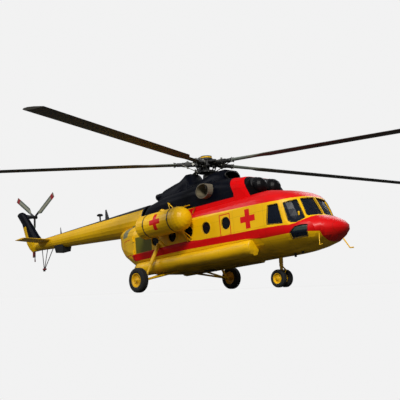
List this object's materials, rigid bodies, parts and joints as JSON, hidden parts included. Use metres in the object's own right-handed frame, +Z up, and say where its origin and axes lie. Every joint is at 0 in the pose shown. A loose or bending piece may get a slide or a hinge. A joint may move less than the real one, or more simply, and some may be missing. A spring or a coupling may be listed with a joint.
{
  "type": "twin-engined rescue helicopter",
  "caption": "Rescue helicopter with five main blades, tail rotor, wheeled gear, sliding side door and clamshell rear doors.",
  "frame": {"origin": "middle of the cargo sling plate's lower face, on the belly under the main rotor", "axes": "+X to the nose, +Y to port, +Z up, with the main rotor's axis on Z"},
  "size_m": [24.9521, 20.2064, 4.9504],
  "materials": {
    "gold_paint": "gloss golden yellow",
    "gold_tank": "gloss golden yellow",
    "red_paint": "gloss red",
    "navy_paint": "gloss dark navy",
    "black_gloss": "gloss black",
    "blade_olive": "satin olive black",
    "tail_blade_grey": "satin grey green",
    "bare_steel": "brushed",
    "tyre_rubber": "matt black",
    "tinted_glass": "dark tinted glass",
    "trim_dark": "satin black",
    "seat_cloth": "dark grey cloth",
    "engine_metal": "bare cast metal"
  },
  "bodies": {
    "airframe": {"cockpit_shell": "gold_paint", "nose_cone": "red_paint", "cockpit_glazing": "tinted_glass", "cockpit_floor": "trim_dark", "pilot_seat_port": "seat_cloth", "pilot_seat_stbd": "seat_cloth", "bulkhead": "trim_dark", "cabin_shell": "gold_paint", "cabin_floor": "trim_dark", "cabin_glazing_port": "tinted_glass", "cabin_glazing_stbd": "tinted_glass", "tail_boom": "gold_paint", "fin": "navy_paint", "stabiliser_port": "gold_paint", "stabiliser_stbd": "gold_paint", "tail_gearbox": "trim_dark", "engine_cowl": "navy_paint", "intake_cowl": "red_paint", "intake_filter_port": "black_gloss", "intake_filter_stbd": "black_gloss", "exhaust_port": "bare_steel", "exhaust_stbd": "bare_steel", "engine_port": "engine_metal", "engine_stbd": "engine_metal", "gearbox": "engine_metal", "mast": "trim_dark", "main_leg_port": "gold_paint", "main_leg_stbd": "gold_paint", "nose_leg": "gold_paint", "low_tank_port": "gold_tank", "low_tank_stbd": "gold_tank", "high_tank_port": "gold_tank", "high_tank_stbd": "gold_tank", "sling_plate": "bare_steel", "tail_skid": "trim_dark", "doppler_box": "black_gloss", "antenna_blade": "trim_dark", "antenna_rear": "trim_dark"},
    "main_rotor": {"rotor_hub": "trim_dark", "main_blade_1": "blade_olive", "main_blade_2": "blade_olive", "main_blade_3": "blade_olive", "main_blade_4": "blade_olive", "main_blade_5": "blade_olive"},
    "tail_rotor": {"tail_rotor": "tail_blade_grey"},
    "nose_fork": {"nose_fork": "gold_paint"},
    "nose_wheels": {"nose_port_tyre": "tyre_rubber", "nose_stbd_tyre": "tyre_rubber", "nose_rims": "gold_paint"},
    "main_wheel_port": {"main_port_tyre": "tyre_rubber", "main_port_rim": "gold_paint"},
    "main_wheel_stbd": {"main_stbd_tyre": "tyre_rubber", "main_stbd_rim": "gold_paint"},
    "sliding_door": {"sliding_door": "gold_paint", "door_glass": "tinted_glass"},
    "clamshell_port": {"clamshell_port": "gold_paint"},
    "clamshell_stbd": {"clamshell_stbd": "gold_paint"}
  },
  "joints": [
    {"name": "main_rotor_spin", "type": "hinge", "parent": "airframe", "child": "main_rotor", "pos_m": [0, 0, 3.755], "axis": [0, 0, 1], "continuous": true},
    {"name": "tail_rotor_spin", "type": "hinge", "parent": "airframe", "child": "tail_rotor", "pos_m": [-12.65, 0.58, 3.17], "axis": [0, 1, 0], "continuous": true},
    {"name": "nose_steer", "type": "hinge", "parent": "airframe", "child": "nose_fork", "pos_m": [3.15, 0, -0.35], "axis": [0, 0, 1], "range_deg": [-45, 45]},
    {"name": "nose_wheel_spin", "type": "hinge", "parent": "nose_fork", "child": "nose_wheels", "pos_m": [3.15, 0, -0.35], "axis": [0, 1, 0], "continuous": true},
    {"name": "main_wheel_spin_port", "type": "hinge", "parent": "airframe", "child": "main_wheel_port", "pos_m": [-1.17, 2.235, -0.215], "axis": [0, 1, 0], "continuous": true},
    {"name": "main_wheel_spin_stbd", "type": "hinge", "parent": "airframe", "child": "main_wheel_stbd", "pos_m": [-1.17, -2.235, -0.215], "axis": [0, 1, 0], "continuous": true},
    {"name": "sliding_door_slide", "type": "slide", "parent": "airframe", "child": "sliding_door", "axis": [-0.9969, 0, -0.0785], "range_m": [0, 0.86]},
    {"name": "clamshell_port_open", "type": "hinge", "parent": "airframe", "child": "clamshell_port", "pos_m": [-2.66559, 1.228, 0.693], "axis": [0.0785, 0, -0.9969], "range_deg": [0, 80]},
    {"name": "clamshell_stbd_open", "type": "hinge", "parent": "airframe", "child": "clamshell_stbd", "pos_m": [-2.66559, -1.228, 0.693], "axis": [-0.0785, 0, 0.9969], "range_deg": [0, 80]}
  ]
}
